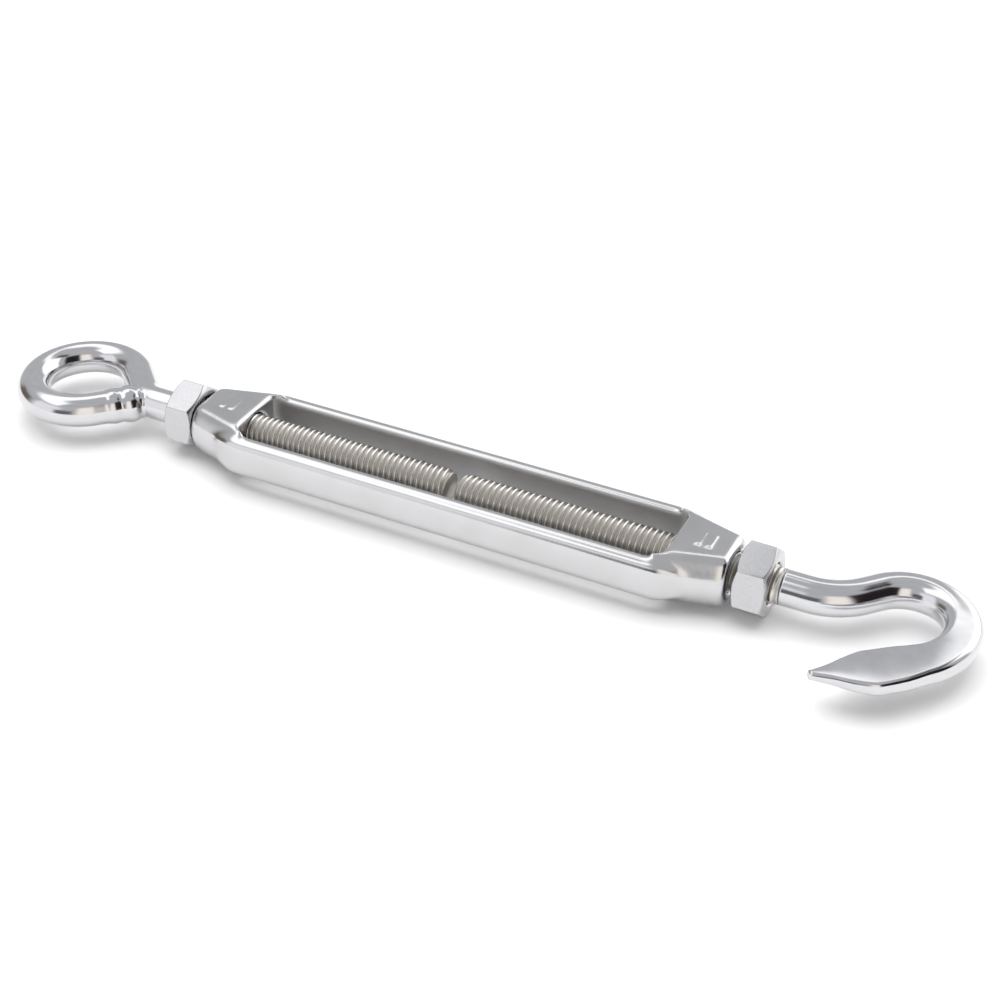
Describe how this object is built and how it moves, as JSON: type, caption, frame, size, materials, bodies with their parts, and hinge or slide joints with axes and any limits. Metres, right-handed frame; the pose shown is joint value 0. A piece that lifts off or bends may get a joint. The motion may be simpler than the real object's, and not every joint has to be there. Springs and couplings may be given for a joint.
{
  "type": "rigging turnbuckle",
  "caption": "Open-frame rigging turnbuckle with a welded closed eye at one end, a forged hook at the other and a lock nut on each rod.",
  "frame": {"origin": "centre of the eye's ring, on the load line that runs down both rods", "axes": "+X along the load line from the eye towards the hook; eye, frame and hook lie flat in XY, with the hook opening towards -Y; +Z square to them, up when the turnbuckle lies on a surface"},
  "size_m": [0.2115, 0.0376, 0.0148],
  "materials": {
    "cast_stainless": "investment-cast stainless steel, tumbled and polished, faint lengthwise grinding marks on the rails",
    "polished_stainless": "bent and forged stainless bar, electropolished; rolled threads satin",
    "weld_metal": "ripples of a TIG weld, lightly polished",
    "nut_stainless": "cold-formed stainless hexagon nut, satin flats and turned chamfers"
  },
  "bodies": {
    "eye_bolt": {"eye_bolt": "polished_stainless", "eye_weld_bead": "weld_metal"},
    "eye_lock_nut": {"eye_lock_nut": "nut_stainless"},
    "frame": {"frame": "cast_stainless"},
    "hook_bolt": {"hook_bolt": "polished_stainless"},
    "hook_lock_nut": {"hook_lock_nut": "nut_stainless"}
  },
  "joints": [
    {"name": "frame_turn", "type": "hinge", "parent": "eye_lock_nut", "child": "frame", "pos_m": [0.0909, 0, 0], "axis": [1, 0, 0], "range_deg": [-288, 12960]},
    {"name": "frame_travel", "type": "slide", "parent": "eye_bolt", "child": "eye_lock_nut", "axis": [1, 0, 0], "range_m": [-0.001, 0.045]},
    {"name": "hook_bolt_travel", "type": "slide", "parent": "eye_bolt", "child": "hook_bolt", "axis": [1, 0, 0], "range_m": [-0.002, 0.09]},
    {"name": "hook_nut_travel", "type": "slide", "parent": "frame", "child": "hook_lock_nut", "axis": [1, 0, 0], "range_m": [-0.001, 0.0008]}
  ],
  "couplings": [
    {"joint": "frame_travel", "follows": "frame_turn", "m_per_rad": 0.00019894},
    {"joint": "hook_bolt_travel", "follows": "frame_turn", "m_per_rad": 0.00039789}
  ]
}
